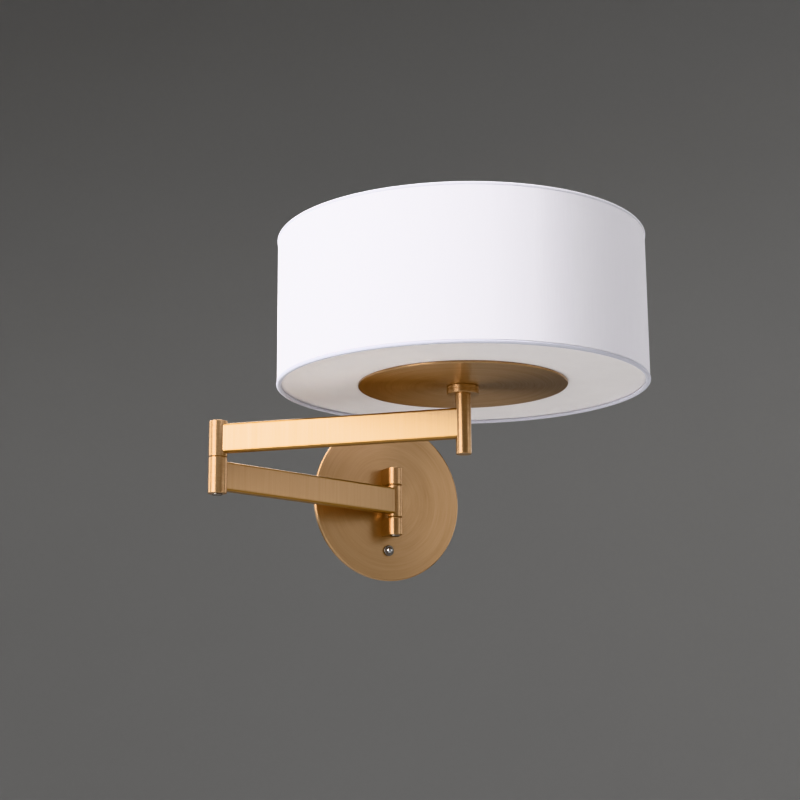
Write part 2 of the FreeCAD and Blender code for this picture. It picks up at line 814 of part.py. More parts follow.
def makeStem():
    inner = "stemWidth / 2 - stemWall"
    body = newBody("stem_tube")
    bottom = f"(stemBottom - {upperArmZ})"
    top = f"(collarBottom + stemGrip - {upperArmZ})"
    revolve(body, [
        (inner, bottom),
        ("stemWidth / 2 - edgeBreak", bottom),
        ("stemWidth / 2", f"{bottom} + edgeBreak"),
        ("stemWidth / 2", top),
        (inner, top),
    ])
    window = newSketch(body, "YZ_Plane")
    circle(window, "windowWidth / 2")
    pocket(body, window, "stemWidth")
    place(body, stemX, stemY, upperArmZ, alongArm("upperAngle"))
    nodes.append(body)

    plug = [("0", "0"), (inner, "0"), (inner, "stemPlug"), ("0", "stemPlug")]
    nodes.append(turned("stem_plug", plug, stemX, stemY, "stemBottom"))

    rim = "collarWidth / 2"
    collar = [
        ("stemWidth / 2", "0"),
        (f"{rim} - edgeBreak", "0"),
        (rim, "edgeBreak"),
        (rim, "collarGrooveRise - collarGroove"),
        (f"{rim} - collarGroove", "collarGrooveRise"),
        (rim, "collarGrooveRise + collarGroove"),
        (rim, "collarHeight - edgeBreak"),
        (f"{rim} - edgeBreak", "collarHeight"),
        ("nippleWidth / 2", "collarHeight"),
        ("nippleWidth / 2", "stemGrip"),
        ("stemWidth / 2", "stemGrip"),
    ]
    nodes.append(turned("collar", collar, stemX, stemY, "collarBottom"))

    nipple = ringPoints("nippleWidth / 2", "nippleBore / 2", "collarBottom + stemGrip",
                        f"{socketBottom} + socketFloor")
    nodes.append(turned("threaded_nipple", nipple, stemX, stemY))

    disc = brokenRing("discWidth / 2", "nippleWidth / 2 + looseGap", "0", "discThick")
    nodes.append(turned("brass_disc", disc, stemX, stemY, collarTop))


# Diffuser, spider, shade

def makeShade():
    diffuser = ringPoints(f"{linerInside} - freeGap", "nippleWidth / 2 + looseGap", "0", "diffuserThick")
    nodes.append(turned("diffuser", diffuser, stemX, stemY, diffuserBottom))

    wallHeight = "shadeHeight - 2 * hemHeight"
    fabric = ringPoints("shadeWidth / 2", fabricInside, "0", wallHeight)
    nodes.append(turned("shade_fabric", fabric, stemX, stemY, diffuserBottom))
    liner = ringPoints(fabricInside, linerInside, "0", wallHeight)
    nodes.append(turned("shade_liner", liner, stemX, stemY, diffuserBottom))

    # a rolled hem caps each rim, and the diffuser rests on the lower one
    hem = newBody("hem_pattern")
    rim = "shadeWidth / 2 + hemProud"
    roll = revolve(hem, ringPoints(rim, f"{rim} - hemWidth", "0", "hemHeight"))
    fillet(hem, roll, "hemRound", lambda edge: edge.BoundBox.ZLength < edge.BoundBox.XLength)
    spots = []
    for low in (shadeBottom, f"{shadeTop} - hemHeight"):
        spots.append(FreeCAD.Placement(Vector(measure(stemX), measure(stemY), measure(low)), upright))
    nodes.append(copies("shade_hems", hem, spots))

    ringRadius = f"{linerInside} - fitGap - ringWire / 2"
    topRing = doc.addObject("Part::Torus", "shade_top_ring")
    topRing.Label = "shade_top_ring"
    bind(topRing, "Radius1", ringRadius)
    bind(topRing, "Radius2", "ringWire / 2")
    place(topRing, stemX, stemY, f"{shadeTop} - hemHeight - fitGap - ringWire / 2")
    nodes.append(topRing)

    spokeZ = f"({diffuserTop} + spokeWire / 2)"
    lowRing = doc.addObject("Part::Torus", "spider_ring")
    bind(lowRing, "Radius1", ringRadius)
    bind(lowRing, "Radius2", "ringWire / 2")
    place(lowRing, "0", "0", spokeZ)
    hub = doc.addObject("Part::Cylinder", "spider_hub")
    bind(hub, "Radius", "spiderHub / 2")
    bind(hub, "Height", "spiderHubThick")
    place(hub, "0", "0", diffuserTop)
    pieces = [lowRing, hub]
    for angle in spokeAngles:
        spoke = doc.addObject("Part::Cylinder", "spider_spoke")
        bind(spoke, "Radius", "spokeWire / 2")
        bind(spoke, "Height", ringRadius)
        turn = FreeCAD.Rotation(Vector(0, 0, 1), angle) * FreeCAD.Rotation(Vector(0, 1, 0), 90)
        place(spoke, "0", "0", spokeZ, turn)
        pieces.append(spoke)
    joined = doc.addObject("Part::MultiFuse", "spider_joined")
    joined.Shapes = pieces
    hole = doc.addObject("Part::Cylinder", "spider_hole")
    bind(hole, "Radius", f"{nutCorner} + edgeBreak")
    bind(hole, "Height", "spokeWire")
    place(hole, "0", "0", hubTop)
    trimmed = doc.addObject("Part::Cut", "spider_trimmed")
    trimmed.Base = joined
    trimmed.Tool = hole
    bore = doc.addObject("Part::Cylinder", "spider_bore")
    bind(bore, "Radius", "nippleWidth / 2 + looseGap")
    bind(bore, "Height", "3 * spokeWire")
    place(bore, "0", "0", f"{diffuserTop} - spokeWire")
    spider = doc.addObject("Part::Cut", "shade_spider")
    spider.Label = "shade_spider"
    spider.Base = trimmed
    spider.Tool = bore
    place(spider, stemX, stemY, "0")
    nodes.append(spider)


# Lamp socket and bulb

def makeLamp():
    nut = newBody("lock_nut")
    sketch = newSketch(nut, "XY_Plane")
    outline(sketch, [(f"{nutCorner} * cos({angle} deg)", f"{nutCorner} * sin({angle} deg)")
                     for angle in range(15, 375, 60)])
    circle(sketch, "nippleWidth / 2")
    pad(nut, sketch, "lockNutThick")
    place(nut, stemX, stemY, hubTop)
    nodes.append(nut)

    socketBore = "(lampBase / 2 + shellThick + 2 * looseGap)"
    socket = [
        ("nippleWidth / 2", "0"),
        ("socketWidth / 2 - 2 * edgeBreak", "0"),
        ("socketWidth / 2", "2 * edgeBreak"),
        ("socketWidth / 2", "socketHeight - edgeBreak"),
        ("socketWidth / 2 - edgeBreak", "socketHeight"),
        (socketBore, "socketHeight"),
        (socketBore, "socketFloor"),
        ("nippleWidth / 2", "socketFloor"),
    ]
    nodes.append(turned("lamp_socket", socket, stemX, stemY, socketBottom))
    shell = ringPoints(socketBore, f"{socketBore} - shellThick", "socketFloor", "socketHeight - shellRecess")
    nodes.append(turned("socket_shell", shell, stemX, stemY, socketBottom))

    tipHeight = f"({socketBottom} + socketFloor + lampBaseLift)"
    base = [
        ("0", "0"),
        ("lampTip / 2", "0"),
        ("lampBase / 2", "lampTipRise"),
        ("lampBase / 2", "lampBaseLength"),
        ("0", "lampBaseLength"),
    ]
    nodes.append(turned("bulb_base", base, stemX, stemY, tipHeight))

    # pear-shaped glass: a ball, and a neck that runs into it along a tangent
    def pear(shrink):
        ball = f"(bulbWidth / 2 - {shrink})"
        rise = "(bulbHeight - bulbWidth / 2)"
        neck = f"(bulbNeck / 2 - {shrink})"
        sphere = doc.addObject("Part::Sphere", "bulb_ball")
        bind(sphere, "Radius", ball)
        place(sphere, "0", "0", rise)
        stalk = doc.addObject("Part::Cone", "bulb_stalk")
        lean = math.asin((measure(ball) - measure(neck)) / (measure(rise) - measure("lampBaseLength")))
        bind(stalk, "Radius1", neck)
        bind(stalk, "Radius2", f"{ball} * {math.cos(lean):.6f}")
        bind(stalk, "Height", f"{rise} - lampBaseLength - {ball} * {math.sin(lean):.6f}")
        place(stalk, "0", "0", "lampBaseLength")
        whole = doc.addObject("Part::Fuse", "bulb_pear")
        whole.Base = sphere
        whole.Tool = stalk
        return whole

    glass = doc.addObject("Part::Cut", "bulb_glass")
    glass.Label = "bulb_glass"
    glass.Base = pear("0")
    glass.Tool = pear("bulbWall")
    place(glass, stemX, stemY, tipHeight)
    nodes.append(glass)


# Connectors and leads

def makeWiring():
    cone = turned("connector_pattern", [
        ("0", "0"),
        ("connectorMouth / 2", "0"),
        ("connectorMouth / 2", "edgeBreak"),
        ("connectorTip / 2", "connectorLength - edgeBreak"),
        ("connectorTip / 2 - edgeBreak", "connectorLength"),
        ("0", "connectorLength"),
    ])
    depth = measure("connectorDepth")
    rise = measure("connectorRise")
    spots = []
    for side in (-1, 1):
        base = Vector(side * measure("connectorSide"), -depth, rise)
        spots.append(FreeCAD.Placement(base, FreeCAD.Rotation(Vector(0, 1, 0), 90 * side)))
    nodes.append(copies("wire_connectors", cone, spots))

    offset = measure("leadPitch") / 2
    level = measure(leadZ)
    pivot = measure(pivotY)
    solids = []
    for side in (-1, 1):
        points = [
            Vector(side * measure("connectorSide"), -depth, rise),
            Vector(side * offset, -depth, rise),
            Vector(side * offset, -depth, level),
            Vector(side * offset, pivot, level),
            Vector(side * offset, pivot, measure(f"{pivotZ} + windowWidth")),
        ]
        solids.append(leadTube(points, [4 * offset, 4 * offset, measure("leadWidth")]))
    nodes.append(gathered("canopy_leads", solids))

    across = Vector(0, 1, 0)
    bend = measure("leadWidth")
    points = [
        Vector(measure("pivotTube / 2 + freeGap"), 0, 0),
        Vector(measure("lowerReach"), 0, 0),
        Vector(measure("lowerReach"), 0, measure(f"{upperBarrelBottom} + pivotDrop + bushLength")),
    ]
    lower = leadPair("lower_arm_leads", points, [bend], across)
    base = Vector(0, pivot, measure(pivotZ))
    lower.Placement = FreeCAD.Placement(base, alongArm("lowerAngle"))
    nodes.append(lower)

    points = [
        Vector(measure("elbowTube / 2 + freeGap"), 0, 0),
        Vector(measure("upperReach"), 0, 0),
        Vector(measure("upperReach"), 0, measure(f"{socketBottom} + socketFloor - {upperArmZ}")),
    ]
    upper = leadPair("upper_arm_leads", points, [bend], across)
    base = Vector(measure(elbowX), measure(elbowY), measure(upperArmZ))
    upper.Placement = FreeCAD.Placement(base, alongArm("upperAngle"))
    nodes.append(upper)


makeStrap()
makePan()
makeFacePlate()
makeWallScrews()
makeUpperLug()
makeLowerLug()
makeWallPivot()
makeSwitch()
makeLowerArm()
makeElbowPivot()
makeUpperArm()
makeStem()
makeShade()
makeLamp()
makeWiring()
doc.recompute()

for item in doc.Objects:
    if "Invalid" in item.State or "Error" in item.State:
        raise RuntimeError(f"{item.Name} did not build: {item.State}")
for node in nodes:
    if node.Shape.isNull() or not node.Shape.isValid():
        raise RuntimeError(f"{node.Label} has no valid shape")

os.makedirs("parts", exist_ok=True)
for node in nodes:
    node.Shape.exportStep(f"parts/{node.Label}.step")
    print(f"{node.Label}: {len(node.Shape.Solids)} solid(s), {node.Shape.Volume:.1f} mm3")
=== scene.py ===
import bpy
import math
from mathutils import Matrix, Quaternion, Vector


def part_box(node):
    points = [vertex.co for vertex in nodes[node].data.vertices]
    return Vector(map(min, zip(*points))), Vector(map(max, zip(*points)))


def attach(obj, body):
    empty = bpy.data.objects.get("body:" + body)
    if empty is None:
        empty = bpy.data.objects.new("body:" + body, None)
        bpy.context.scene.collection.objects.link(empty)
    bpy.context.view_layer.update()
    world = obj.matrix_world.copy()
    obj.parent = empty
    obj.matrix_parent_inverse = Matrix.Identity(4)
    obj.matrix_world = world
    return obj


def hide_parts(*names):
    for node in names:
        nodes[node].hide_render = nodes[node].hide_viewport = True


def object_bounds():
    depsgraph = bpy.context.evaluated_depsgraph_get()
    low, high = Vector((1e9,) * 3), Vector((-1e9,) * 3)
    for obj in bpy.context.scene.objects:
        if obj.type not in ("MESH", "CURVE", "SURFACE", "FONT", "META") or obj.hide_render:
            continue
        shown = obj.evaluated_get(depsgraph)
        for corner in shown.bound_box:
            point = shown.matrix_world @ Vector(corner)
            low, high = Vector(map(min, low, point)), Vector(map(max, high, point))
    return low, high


# Swing arm wall sconce: brushed brass arms and a white drum shade.
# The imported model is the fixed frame; every length here is in metres.

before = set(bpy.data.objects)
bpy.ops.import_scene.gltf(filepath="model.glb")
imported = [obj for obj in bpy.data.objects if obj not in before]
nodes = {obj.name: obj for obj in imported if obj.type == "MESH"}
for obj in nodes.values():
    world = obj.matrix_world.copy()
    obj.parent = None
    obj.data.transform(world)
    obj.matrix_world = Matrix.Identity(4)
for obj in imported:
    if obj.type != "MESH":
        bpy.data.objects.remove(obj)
cadLow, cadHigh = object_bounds()
scene = bpy.context.scene
quarter = math.pi / 2
print("frame loaded,", len(nodes), "nodes")


def middleOf(name):
    low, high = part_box(name)
    return (Vector(low) + Vector(high)) / 2


def heading(start, end):
    return math.atan2(end.y - start.y, end.x - start.x)


wallAxis = middleOf("wall_barrel")
elbowAxis = middleOf("elbow_lower_barrel")
stemAxis = middleOf("stem_tube")
plateMiddle = middleOf("face_plate")
switchMiddle = middleOf("switch_plunger")
lowerHeading = heading(wallAxis, elbowAxis)
upperHeading = heading(elbowAxis, stemAxis)


# Node helpers

def link(tree, source, target):
    tree.links.new(source, target)


def addNode(tree, kind, **values):
    node = tree.nodes.new(kind)
    for name, value in values.items():
        setattr(node, name, value)
    return node


def mathNode(tree, operation, first, second=None):
    node = addNode(tree, "ShaderNodeMath", operation=operation)
    for socket, value in zip(node.inputs, (first, second)):
        if value is None:
            continue
        if isinstance(value, (int, float)):
            socket.default_value = value
        else:
            link(tree, value, socket)
    return node.outputs[0]


def newGroup(name, inputs, outputs):
    group = bpy.data.node_groups.new(name, "ShaderNodeTree")
    for label, kind, value in inputs:
        socket = group.interface.new_socket(name=label, in_out="INPUT", socket_type=kind)
        if value is not None:
            socket.default_value = value
    for label, kind in outputs:
        group.interface.new_socket(name=label, in_out="OUTPUT", socket_type=kind)
    return group, addNode(group, "NodeGroupInput"), addNode(group, "NodeGroupOutput")


def useGroup(tree, group, **values):
    node = addNode(tree, "ShaderNodeGroup", node_tree=group)
    for label, value in values.items():
        socket = node.inputs[label]
        if isinstance(value, (int, float, tuple)):
            socket.default_value = value
        else:
            link(tree, value, socket)
    return node


def noise(tree, vector, scale, detail=2.0, roughness=0.5):
    node = addNode(tree, "ShaderNodeTexNoise")
    node.inputs["Scale"].default_value = scale
    node.inputs["Detail"].default_value = detail
    node.inputs["Roughness"].default_value = roughness
    link(tree, vector, node.inputs["Vector"])
    return node.outputs["Fac"]


def stretchRange(tree, value, low, high, newLow, newHigh):
    node = addNode(tree, "ShaderNodeMapRange")
    link(tree, value, node.inputs["Value"])
    limits = (("From Min", low), ("From Max", high), ("To Min", newLow), ("To Max", newHigh))
    for label, number in limits:
        node.inputs[label].default_value = number
    return node.outputs["Result"]


def mixColours(tree, amount, first, second):
    node = addNode(tree, "ShaderNodeMix", data_type="RGBA")
    link(tree, amount, node.inputs["Factor"])
    for socket, value in ((node.inputs[6], first), (node.inputs[7], second)):
        if isinstance(value, tuple):
            socket.default_value = (*value, 1)
        else:
            link(tree, value, socket)
    return node.outputs[2]


def weighted(tree, *parts):
    total = None
    for value, weight in parts:
        share = mathNode(tree, "MULTIPLY", value, weight)
        total = share if total is None else mathNode(tree, "ADD", total, share)
    return total


# Shared effects

def makeTurnedLines():
    # Space stretched round the Z axis, so that a noise becomes rings on faces and bands on barrels
    group, inner, outer = newGroup(
        "turnedLines",
        [("Vector", "NodeSocketVector", None),
         ("Around", "NodeSocketFloat", 2.0),
         ("Across", "NodeSocketFloat", 900.0)],
        [("Vector", "NodeSocketVector")])
    parts = addNode(group, "ShaderNodeSeparateXYZ")
    link(group, inner.outputs["Vector"], parts.inputs[0])
    x, y, z = parts.outputs
    square = mathNode(group, "ADD", mathNode(group, "MULTIPLY", x, x), mathNode(group, "MULTIPLY", y, y))
    radius = mathNode(group, "SQRT", square)
    safe = mathNode(group, "MAXIMUM", radius, 0.0001)
    cosine = mathNode(group, "MULTIPLY", mathNode(group, "DIVIDE", x, safe), inner.outputs["Around"])
    sine = mathNode(group, "MULTIPLY", mathNode(group, "DIVIDE", y, safe), inner.outputs["Around"])
    across = mathNode(group, "MULTIPLY", mathNode(group, "ADD", radius, z), inner.outputs["Across"])
    joined = addNode(group, "ShaderNodeCombineXYZ")
    for value, socket in zip((cosine, sine, across), joined.inputs):
        link(group, value, socket)
    link(group, joined.outputs[0], outer.inputs["Vector"])
    return group


def makeBrushMarks():
    # Fine scratches with a few deeper ones; the vector comes in already stretched along the marks
    group, inner, outer = newGroup(
        "brushMarks",
        [("Vector", "NodeSocketVector", None), ("Deep", "NodeSocketFloat", 0.35)],
        [("Tone", "NodeSocketFloat"), ("Height", "NodeSocketFloat")])
    vector = inner.outputs["Vector"]
    fine = noise(group, vector, 1.0, 3.0, 0.65)
    coarse = noise(group, vector, 0.23, 2.0, 0.6)
    deep = stretchRange(group, noise(group, vector, 0.55, 1.0, 0.5), 0.62, 0.78, 0.0, 1.0)
    tone = weighted(group, (fine, 0.6), (coarse, 0.4))
    cut = mathNode(group, "MULTIPLY", deep, inner.outputs["Deep"])
    worn = mathNode(group, "SUBTRACT", tone, mathNode(group, "MULTIPLY", cut, 0.3))
    link(group, worn, outer.inputs["Tone"])
    link(group, mathNode(group, "SUBTRACT", tone, cut), outer.inputs["Height"])
    return group


def makeClothWeave():
    # Plain weave over cloth coordinates in metres: threads over and under, with slubs
    group, inner, outer = newGroup(
        "clothWeave",
        [("Vector", "NodeSocketVector", None), ("Thread", "NodeSocketFloat", 0.00042)],
        [("Tone", "NodeSocketFloat"), ("Height", "NodeSocketFloat")])
    parts = addNode(group, "ShaderNodeSeparateXYZ")
    link(group, inner.outputs["Vector"], parts.inputs[0])
    turns = []
    for value in parts.outputs[:2]:
        count = mathNode(group, "DIVIDE", value, inner.outputs["Thread"])
        turns.append(mathNode(group, "MULTIPLY", count, math.pi))
    warp = mathNode(group, "SINE", turns[0])
    weft = mathNode(group, "SINE", turns[1])
    over = mathNode(group, "GREATER_THAN", mathNode(group, "MULTIPLY", warp, weft), 0.0)
    warpTop = mathNode(group, "MULTIPLY", mathNode(group, "ABSOLUTE", warp), over)
    under = mathNode(group, "SUBTRACT", 1.0, over)
    weftTop = mathNode(group, "MULTIPLY", mathNode(group, "ABSOLUTE", weft), under)
    slubs = addNode(group, "ShaderNodeMapping")
    link(group, inner.outputs["Vector"], slubs.inputs["Vector"])
    slubs.inputs["Scale"].default_value = (900, 30, 1)
    slub = noise(group, slubs.outputs[0], 1.0, 2.0, 0.5)
    height = weighted(group, (warpTop, 1.0), (weftTop, 1.0), (slub, 0.6))
    link(group, height, outer.inputs["Height"])
    link(group, weighted(group, (slub, 0.7), (height, 0.2)), outer.inputs["Tone"])
    return group


def makeFineGrain():
    group, inner, outer = newGroup(
        "fineGrain",
        [("Vector", "NodeSocketVector", None), ("Size", "NodeSocketFloat", 2500.0)],
        [("Tone", "NodeSocketFloat"), ("Height", "NodeSocketFloat")])
    scaled = addNode(group, "ShaderNodeVectorMath", operation="SCALE")
    link(group, inner.outputs["Vector"], scaled.inputs[0])
    link(group, inner.outputs["Size"], scaled.inputs["Scale"])
    grain = noise(group, scaled.outputs[0], 1.0, 2.0, 0.6)
    cloud = noise(group, scaled.outputs[0], 0.02, 2.0, 0.5)
    link(group, weighted(group, (grain, 0.35), (cloud, 0.65)), outer.inputs["Tone"])
    link(group, grain, outer.inputs["Height"])
    return group


def makeThreadWave():
    # A screw thread: a wave that climbs one pitch for each turn round the Z axis
    group, inner, outer = newGroup(
        "threadWave",
        [("Vector", "NodeSocketVector", None), ("Pitch", "NodeSocketFloat", 0.001)],
        [("Tone", "NodeSocketFloat"), ("Height", "NodeSocketFloat")])
    parts = addNode(group, "ShaderNodeSeparateXYZ")
    link(group, inner.outputs["Vector"], parts.inputs[0])
    angle = mathNode(group, "ARCTAN2", parts.outputs[1], parts.outputs[0])
    turns = mathNode(group, "DIVIDE", parts.outputs[2], inner.outputs["Pitch"])
    climb = mathNode(group, "MULTIPLY", turns, 2 * math.pi)
    wave = mathNode(group, "SINE", mathNode(group, "SUBTRACT", climb, angle))
    rise = stretchRange(group, wave, -1.0, 1.0, 0.0, 1.0)
    # painted shade: the tone follows the thread's height, so its roots come out darker
    link(group, rise, outer.inputs["Tone"])
    link(group, rise, outer.inputs["Height"])
    return group


turnedLines = makeTurnedLines()
brushMarks = makeBrushMarks()
clothWeave = makeClothWeave()
fineGrain = makeFineGrain()
threadWave = makeThreadWave()
print("shared effects made")


# Materials

def newMaterial(name, **settings):
    material = bpy.data.materials.new(name)
    material.use_nodes = True
    tree = material.node_tree
    shader = tree.nodes["Principled BSDF"]
    for label, value in settings.items():
        shader.inputs[label.replace("_", " ")].default_value = value
    return material, tree, shader


def placedCoords(tree, centre=(0, 0, 0), turn=(0, 0, 0), scale=(1, 1, 1)):
    # Object coordinates moved to a centre, then turned, then stretched
    coords = addNode(tree, "ShaderNodeTexCoord")
    vector = coords.outputs["Object"]
    moves = (("Location", [-value for value in centre]), ("Rotation", turn), ("Scale", scale))
    for label, values in moves:
        step = addNode(tree, "ShaderNodeMapping", vector_type="POINT")
        link(tree, vector, step.inputs["Vector"])
        step.inputs[label].default_value = values
        vector = step.outputs[0]
    return vector


def addBump(tree, shader, height, strength, distance):
    bump = addNode(tree, "ShaderNodeBump")
    bump.inputs["Strength"].default_value = strength
    bump.inputs["Distance"].default_value = distance
    link(tree, height, bump.inputs["Height"])
    link(tree, bump.outputs["Normal"], shader.inputs["Normal"])


brass = {
    "light": (0.50, 0.33, 0.19),
    "dark": (0.40, 0.24, 0.13),
    # edge: the painted shade colour laid along a bar's long edges
    "edge": (0.36, 0.20, 0.07),
    "shadedEdgeWidth": 0.0022,
    "roughLow": 0.29,
    "roughHigh": 0.43,
    "bump": 0.22,
    "markDepth": 0.00004,
}
armBrass = dict(
    brass, light=(0.48, 0.32, 0.19), dark=(0.42, 0.26, 0.14), roughLow=0.32, roughHigh=0.4, bump=0.14)
# painted highlight: the upper arm's copy of the arm brass is paler and less red, for its washed-out
# highlight
paintedHighlightBrass = dict(armBrass, light=(0.46, 0.32, 0.20), dark=(0.40, 0.27, 0.15))
plateBrass = dict(brass, light=(0.48, 0.31, 0.18), dark=(0.42, 0.26, 0.14), bump=0.13)
discBrass = dict(brass, roughLow=0.3, roughHigh=0.36, bump=0.08)
bronze = {
    "light": (0.30, 0.17, 0.08),
    "dark": (0.16, 0.08, 0.035),
    "roughLow": 0.42,
    "roughHigh": 0.6,
    "bump": 0.2,
    "markDepth": 0.00004,
}
zincSteel = {
    "light": (0.58, 0.58, 0.60),
    "dark": (0.42, 0.42, 0.44),
    "roughLow": 0.32,
    "roughHigh": 0.5,
    "bump": 0.2,
    "markDepth": 0.00004,
}
# darker steel: painted shade on the screw heads under the lug and the elbow; the switch's bushing and nut
# share it
darkSteelAndShade = dict(zincSteel, light=(0.26, 0.24, 0.22), dark=(0.16, 0.145, 0.13))
chrome = {
    "light": (0.50, 0.51, 0.52),
    "dark": (0.40, 0.41, 0.43),
    "roughLow": 0.06,
    "roughHigh": 0.14,
    "bump": 0.04,
    "markDepth": 0.00002,
}
sheetBrass = {
    "light": (0.66, 0.50, 0.26),
    "dark": (0.50, 0.36, 0.17),
    "roughLow": 0.3,
    "roughHigh": 0.45,
    "bump": 0.1,
    "markDepth": 0.00003,
}


def finishMetal(tree, shader, vector, metal, deep=0.35):
    marks = useGroup(tree, brushMarks, Vector=vector, Deep=deep)
    tone = stretchRange(tree, marks.outputs["Tone"], 0.3, 0.7, 0.0, 1.0)
    link(tree, mixColours(tree, tone, metal["dark"], metal["light"]), shader.inputs["Base Color"])
    rough = stretchRange(tree, marks.outputs["Tone"], 0.3, 0.7, metal["roughHigh"], metal["roughLow"])
    link(tree, rough, shader.inputs["Roughness"])
    addBump(tree, shader, marks.outputs["Height"], metal["bump"], metal["markDepth"])


def turnedMetal(name, metal, centre, turn=(0, 0, 0), around=3.0, across=1400.0, anisotropic=0.3):
    # Metal finished on a lathe round the centre's axis, which is Z once turned
    material, tree, shader = newMaterial(
        name, Metallic=1.0, Anisotropic=anisotropic, Anisotropic_Rotation=0.25)
    direction = addNode(tree, "ShaderNodeTangent", direction_type="RADIAL", axis="Y" if turn[0] else "Z")
    link(tree, direction.outputs[0], shader.inputs["Tangent"])
    coords = placedCoords(tree, centre, turn)
    lines = useGroup(tree, turnedLines, Vector=coords, Around=around, Across=across)
    finishMetal(tree, shader, lines.outputs["Vector"], metal)
    return material


def strokedMetal(name, metal, bar, centre, angle, along=1500.0, across=14.0):
    # A bar brushed across its length, whose heading in plan is the angle; its long edges get a painted
    # shade, darker
    material, tree, shader = newMaterial(name, Metallic=1.0)
    finishMetal(tree, shader, placedCoords(tree, centre, (0, 0, -angle), (along, across, across)), metal)
    low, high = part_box(bar)
    parts = addNode(tree, "ShaderNodeSeparateXYZ")
    link(tree, placedCoords(tree, middleOf(bar)), parts.inputs[0])
    half = (high[2] - low[2]) / 2
    height = mathNode(tree, "ABSOLUTE", parts.outputs[2])
    # painted shade: a band along the bar's top and bottom edges is darkened towards the edge colour
    edge = stretchRange(tree, height, half - metal["shadedEdgeWidth"], half - metal["shadedEdgeWidth"] / 4, 0.0, 1.0)
    brushed = shader.inputs["Base Color"].links[0].from_socket
    link(tree, mixColours(tree, edge, brushed, metal["edge"]), shader.inputs["Base Color"])
    return material


def threadedMetal(name, metal, centre, pitch, depth):
    # Metal with a screw thread standing upright on the centre's axis; the thread's roots get a painted
    # shade, darker than its crests
    material, tree, shader = newMaterial(name, Metallic=1.0)
    wave = useGroup(tree, threadWave, Vector=placedCoords(tree, centre), Pitch=pitch)
    colour = mixColours(tree, wave.outputs["Tone"], metal["dark"], metal["light"])
    link(tree, colour, shader.inputs["Base Color"])
    rough = stretchRange(tree, wave.outputs["Tone"], 0.0, 1.0, metal["roughHigh"], metal["roughLow"])
    link(tree, rough, shader.inputs["Roughness"])
    addBump(tree, shader, wave.outputs["Height"], 1.0, depth)
    return material


def grained(name, light, dark, roughness, metallic=0.0, size=2500.0, bump=0.1, **settings):
    material, tree, shader = newMaterial(name, Metallic=metallic, **settings)
    grain = useGroup(tree, fineGrain, Vector=placedCoords(tree), Size=size)
    tone = stretchRange(tree, grain.outputs["Tone"], 0.35, 0.65, 0.0, 1.0)
    link(tree, mixColours(tree, tone, dark, light), shader.inputs["Base Color"])
    rough = stretchRange(tree, grain.outputs["Tone"], 0.35, 0.65, roughness + 0.06, roughness - 0.04)
    link(tree, rough, shader.inputs["Roughness"])
    addBump(tree, shader, grain.outputs["Height"], bump, 0.0001)
    return material


def dress(material, *names):
    for name in names:
        for slot in nodes[name].material_slots:
            slot.material = material


dress(turnedMetal("plateBrass", plateBrass, plateMiddle, (quarter, 0, 0), 1.6, 900.0, 0.4), "face_plate")
dress(turnedMetal("wallJointBrass", brass, wallAxis), "upper_lug", "lower_lug", "wall_barrel")
dress(turnedMetal("elbowBrass", brass, elbowAxis),
      "elbow_lower_barrel", "elbow_upper_barrel", "elbow_top_cap")
dress(turnedMetal("stemBrass", brass, stemAxis), "stem_tube", "stem_plug", "collar")
dress(turnedMetal("discBrass", discBrass, stemAxis, (0, 0, 0), 1.6, 900.0, 0.8), "brass_disc")
dress(strokedMetal("lowerArmBrass", armBrass, "lower_arm_tube", wallAxis, lowerHeading),
      "lower_arm_tube")
dress(strokedMetal("upperArmHighlitBrass", paintedHighlightBrass, "upper_arm_tube", elbowAxis, upperHeading),
      "upper_arm_tube")
print("brass dressed")

# The joints' hidden hardware, and the slim rings that show between the barrels
dress(turnedMetal("wallJointBronze", bronze, wallAxis), "wall_bushes", "thrust_washers")
dress(turnedMetal("elbowBronze", bronze, elbowAxis),
      "elbow_lower_bush", "elbow_upper_bush", "elbow_friction_washer")
dress(turnedMetal("wallJointSteel", zincSteel, wallAxis), "wall_pivot_tube")
# painted shade: the screw heads under the barrels take the darker steel
dress(turnedMetal("pivotScrewShadedSteel", darkSteelAndShade, wallAxis), "wall_pivot_screw")
dress(turnedMetal("elbowSteel", zincSteel, elbowAxis),
      "elbow_pivot_tube", "elbow_spring_washer", "elbow_lock_ring")
dress(turnedMetal("footScrewShadedSteel", darkSteelAndShade, elbowAxis), "elbow_foot_screw")
dress(turnedMetal("buttonChrome", chrome, switchMiddle, (quarter, 0, 0), 3.0, 900.0, 0.0), "switch_plunger")
dress(turnedMetal("switchNickel", darkSteelAndShade, switchMiddle, (quarter, 0, 0), 3.0, 900.0, 0.0),
      "switch_bushing", "switch_nut")

# The canopy behind the plate
dress(grained("zincSheet", (0.60, 0.60, 0.61), (0.44, 0.44, 0.46), 0.42, 1.0, 400.0),
      "mounting_strap")
dress(grained("zincScrew", (0.62, 0.62, 0.63), (0.46, 0.46, 0.48), 0.34, 1.0, 1500.0),
      "plate_screws", "lug_screws", "canopy_side_screws")
dress(grained("earthGreen", (0.09, 0.30, 0.11), (0.05, 0.20, 0.07), 0.38, 0.6, 1500.0),
      "ground_screw")
# near-black pan: black paint, and painted shade for the dark gap behind the face plate
dress(grained("panPaintAndShade", (0.055, 0.055, 0.057), (0.035, 0.035, 0.037), 0.55, 0.0, 2500.0, 0.3),
      "canopy_pan")
dress(grained("blackPhenolic", (0.04, 0.04, 0.042), (0.02, 0.02, 0.022), 0.36),
      "switch_body", "lamp_socket")
dress(grained("connectorPlastic", (0.80, 0.30, 0.05), (0.70, 0.24, 0.03), 0.4), "wire_connectors")
dress(grained("leadInsulation", (0.72, 0.69, 0.62), (0.62, 0.59, 0.52), 0.5),
      "canopy_leads", "lower_arm_leads", "upper_arm_leads")

